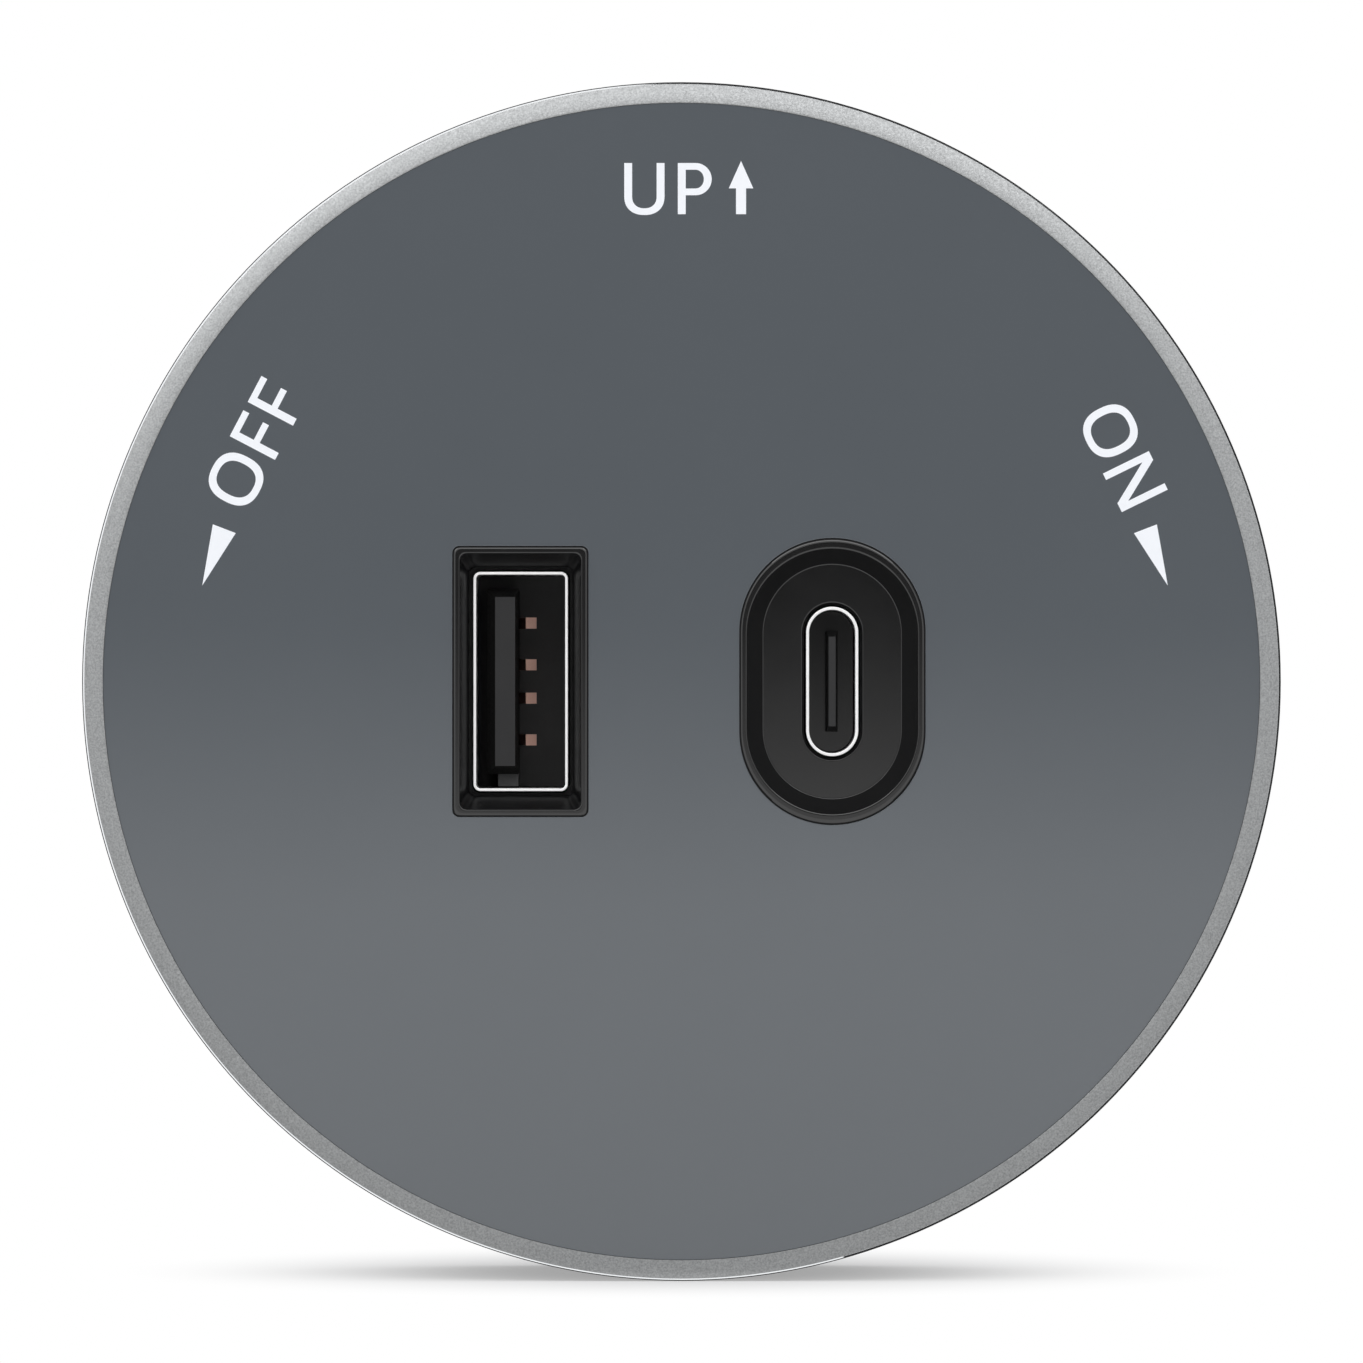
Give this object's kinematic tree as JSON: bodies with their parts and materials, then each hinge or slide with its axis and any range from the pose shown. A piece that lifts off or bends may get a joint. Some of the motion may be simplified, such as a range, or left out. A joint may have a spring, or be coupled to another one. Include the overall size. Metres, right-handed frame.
{
  "type": "power track usb adapter",
  "caption": "Round adapter that twists into a powered track and offers a USB-A and a USB-C charging outlet in a glossy face with a silver ring.",
  "frame": {"origin": "centre of the foot's seating plane, which lies on the face of the track", "axes": "+Y into the track along the axis of the twist, -Y towards the user, +Z the way the mark on the face points, +X to the user's right, shown in the position in which the adapter enters the track"},
  "size_m": [0.0715, 0.0477, 0.0714],
  "materials": {
    "ring_metal": "fine bead-blasted silver",
    "face_gloss": "glossy dark grey",
    "bezel_black": "glossy black",
    "port_steel": "plated steel",
    "port_black": "satin black nylon",
    "contact_copper": "copper alloy",
    "case_black": "fine spark-eroded black",
    "key_grey": "satin dark grey",
    "board_green": "green solder mask",
    "ferrite": "dull sintered grey",
    "tape_yellow": "polyester tape",
    "can_black": "sleeved can",
    "can_silver": "bare can",
    "capacitor_yellow": "boxed film",
    "capacitor_blue": "dipped epoxy",
    "chip_black": "moulded epoxy",
    "wire_copper": "copper",
    "screw_steel": "zinc plated",
    "pin_brass": "turned brass",
    "washer_white": "low-friction white"
  },
  "bodies": {
    "foot": {"track_foot": "case_black", "retaining_ring": "screw_steel", "thrust_washer": "washer_white"},
    "rotor": {"housing_shell": "ring_metal", "face_plate": "face_gloss", "usb_a_bezel": "bezel_black", "usb_c_bezel": "bezel_black", "usb_a_shell": "port_steel", "usb_c_shell": "port_steel", "usb_a_insulator": "port_black", "usb_c_insulator": "port_black", "usb_a_contacts": "contact_copper", "usb_c_contacts": "contact_copper", "port_carrier": "case_black", "rear_cover": "case_black", "circuit_board": "board_green", "transformer_core": "ferrite", "choke_core": "ferrite", "transformer_bobbin": "case_black", "transformer_winding": "tape_yellow", "bulk_capacitors": "can_black", "output_capacitors": "can_silver", "x_capacitor": "capacitor_yellow", "y_capacitor": "capacitor_blue", "choke_windings": "wire_copper", "bridge_rectifier": "chip_black", "control_chips": "chip_black", "fuse": "chip_black", "varistor": "capacitor_blue", "output_inductor": "ferrite", "rear_cover_screws": "screw_steel", "bridge_screws": "screw_steel", "key_screws": "screw_steel", "clamp_screws": "screw_steel", "key_bridge": "screw_steel", "key_half_upper": "key_grey", "key_half_lower": "key_grey", "line_strip": "wire_copper", "neutral_strip": "wire_copper", "earth_strip": "wire_copper", "line_spring": "screw_steel", "neutral_spring": "screw_steel", "earth_spring_right": "screw_steel", "earth_spring_left": "screw_steel"},
    "line_plunger": {"line_contact": "pin_brass"},
    "neutral_plunger": {"neutral_contact": "pin_brass"},
    "earth_plunger_right": {"earth_contact_right": "pin_brass"},
    "earth_plunger_left": {"earth_contact_left": "pin_brass"}
  },
  "joints": [
    {"name": "twist", "type": "hinge", "parent": "foot", "child": "rotor", "pos_m": [0, 0, 0], "axis": [0, 1, 0], "range_deg": [0, 90]},
    {"name": "line_contact_press", "type": "slide", "parent": "rotor", "child": "line_plunger", "axis": [-1, 0, 0], "range_m": [0, 0.0008], "stiffness_N_per_m": 1500, "springref_m": -0.0006, "deforming": ["line_spring"]},
    {"name": "neutral_contact_press", "type": "slide", "parent": "rotor", "child": "neutral_plunger", "axis": [1, 0, 0], "range_m": [0, 0.0008], "stiffness_N_per_m": 1500, "springref_m": -0.0006, "deforming": ["neutral_spring"]},
    {"name": "earth_contact_press_right", "type": "slide", "parent": "rotor", "child": "earth_plunger_right", "axis": [-1, 0, 0], "range_m": [0, 0.0008], "stiffness_N_per_m": 1500, "springref_m": -0.0006, "deforming": ["earth_spring_right"]},
    {"name": "earth_contact_press_left", "type": "slide", "parent": "rotor", "child": "earth_plunger_left", "axis": [1, 0, 0], "range_m": [0, 0.0008], "stiffness_N_per_m": 1500, "springref_m": -0.0006, "deforming": ["earth_spring_left"]}
  ]
}
